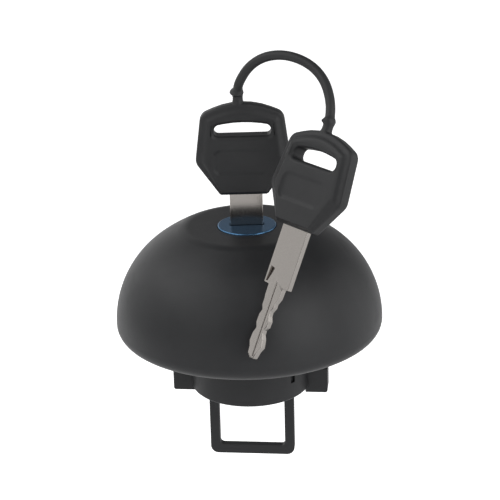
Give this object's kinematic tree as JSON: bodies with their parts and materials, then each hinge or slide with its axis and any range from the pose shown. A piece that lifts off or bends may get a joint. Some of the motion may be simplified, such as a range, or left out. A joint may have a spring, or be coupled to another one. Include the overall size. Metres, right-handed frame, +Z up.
{
  "type": "locking fuel filler cap",
  "caption": "Domed locking fuel cap with a bayonet neck, gasket, tether loop, key lock with turning disc and two keys joined by a moulded strap.",
  "frame": {"origin": "on the cap's axis, in the plane of the gasket's lower face, which rests on the end of the filler neck", "axes": "+Z up along the cap's axis towards the lock and key, +X towards the right-hand bayonet lug, -Y towards the second key"},
  "size_m": [0.088, 0.0945, 0.1425],
  "materials": {
    "dome_plastic": "smooth satin moulding",
    "insert_plastic": "moulded, slightly matt",
    "guide_plastic": "moulded",
    "slip_ring_plastic": "natural acetal",
    "gasket_rubber": "matt",
    "spring_steel": "drawn wire",
    "zinc_casting": "die cast zinc, light grey",
    "wafer_brass": "stamped",
    "blue_disc": "glossy dark blue",
    "screw_steel": "zinc plated",
    "nickel_blade": "nickel plated",
    "key_plastic": "soft satin moulding"
  },
  "bodies": {
    "insert": {"bayonet_insert": "insert_plastic", "bottom_plate": "insert_plastic", "plate_seal": "gasket_rubber", "slip_ring": "slip_ring_plastic", "pressure_spring": "spring_steel", "vent_valve_cap": "insert_plastic", "vent_valve_spring": "spring_steel"},
    "gasket_carrier": {"gasket": "gasket_rubber", "pressure_ring": "insert_plastic"},
    "dome": {"dome_cover": "dome_plastic", "lock_housing": "zinc_casting", "bolt_guide": "guide_plastic", "guide_screws": "screw_steel"},
    "plug": {"lock_plug": "zinc_casting", "lock_face": "blue_disc", "wafer_tumblers": "wafer_brass", "lock_cam": "zinc_casting", "cam_washer": "screw_steel", "cam_screw": "screw_steel"},
    "bolt": {"locking_bolt": "zinc_casting"},
    "keys": {"key_blade_1": "nickel_blade", "key_blade_2": "nickel_blade", "key_heads": "key_plastic"},
    "vent_valve": {"vent_valve_disc": "guide_plastic"}
  },
  "joints": [
    {"name": "dome_spin", "type": "hinge", "parent": "insert", "child": "dome", "pos_m": [0, 0, 0], "axis": [0, 0, 1], "continuous": true},
    {"name": "plug_turn", "type": "hinge", "parent": "dome", "child": "plug", "pos_m": [0, 0, 0], "axis": [0, 0, -1], "range_deg": [0, 90]},
    {"name": "bolt_slide", "type": "slide", "parent": "dome", "child": "bolt", "axis": [1, 0, 0], "range_m": [0, 0.0024]},
    {"name": "key_pull", "type": "slide", "parent": "plug", "child": "keys", "axis": [0, 0, 1], "range_m": [0, 0.034]},
    {"name": "gasket_float", "type": "slide", "parent": "insert", "child": "gasket_carrier", "axis": [0, 0, 1], "range_m": [0, 0.0015], "stiffness_N_per_m": 3000, "springref_m": -0.005, "deforming": ["pressure_spring"]},
    {"name": "vent_lift", "type": "slide", "parent": "insert", "child": "vent_valve", "axis": [0, 0, 1], "range_m": [0, 0.0012], "stiffness_N_per_m": 150, "springref_m": -0.003, "deforming": ["vent_valve_spring"]}
  ],
  "couplings": [
    {"joint": "bolt_slide", "follows": "plug_turn", "m_per_rad": 0.0015279}
  ]
}
